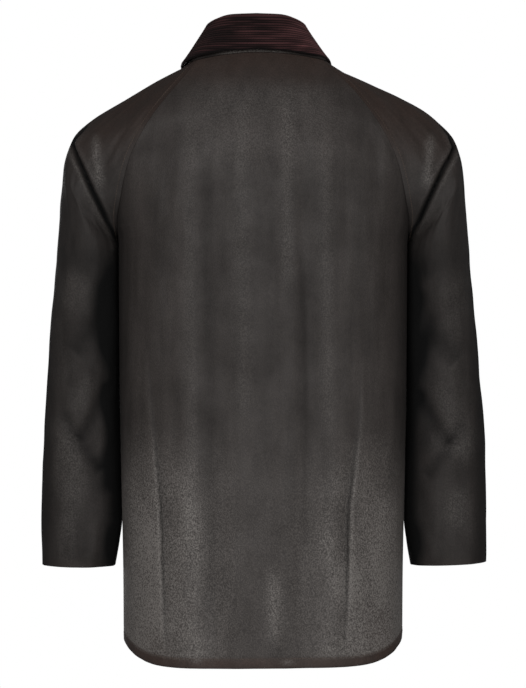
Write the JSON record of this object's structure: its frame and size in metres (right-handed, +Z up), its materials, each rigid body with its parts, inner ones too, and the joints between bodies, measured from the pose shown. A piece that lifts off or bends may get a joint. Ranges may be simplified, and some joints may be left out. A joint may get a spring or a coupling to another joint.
{
  "type": "waxed cotton jacket",
  "caption": "Hip-length waxed cotton jacket with raglan sleeves, corduroy turn-down collar and plain zip front, hollow and filled out as if worn.",
  "frame": {"origin": "middle of the neck opening, level with the centre-back collar seam", "axes": "+Z up, +X towards the wearer's left, +Y towards the back, so the front faces -Y"},
  "size_m": [0.574, 0.2772, 0.8313],
  "materials": {
    "waxed_cotton": "dark brown-olive waxed cotton, soft sheen",
    "corduroy": "dark brown corduroy, matt nap with fine ribs",
    "zip_tape": "woven dark tape, matt",
    "zip_metal": "aged brass"
  },
  "bodies": {
    "jacket": {"back": "waxed_cotton", "front_left": "waxed_cotton", "front_right": "waxed_cotton", "sleeve_left": "waxed_cotton", "sleeve_right": "waxed_cotton", "upper_collar": "corduroy", "under_collar": "waxed_cotton", "zip_tape_left": "zip_tape", "zip_tape_right": "zip_tape", "zip_chain": "zip_metal", "zip_slider": "zip_metal", "zip_box": "zip_metal"},
    "pull": {"zip_pull": "zip_metal"}
  },
  "joints": [
    {"name": "pull_swing", "type": "hinge", "parent": "jacket", "child": "pull", "pos_m": [0, -0.09047, -0.09232], "axis": [-1, 0, 0], "range_deg": [0, 150]}
  ]
}
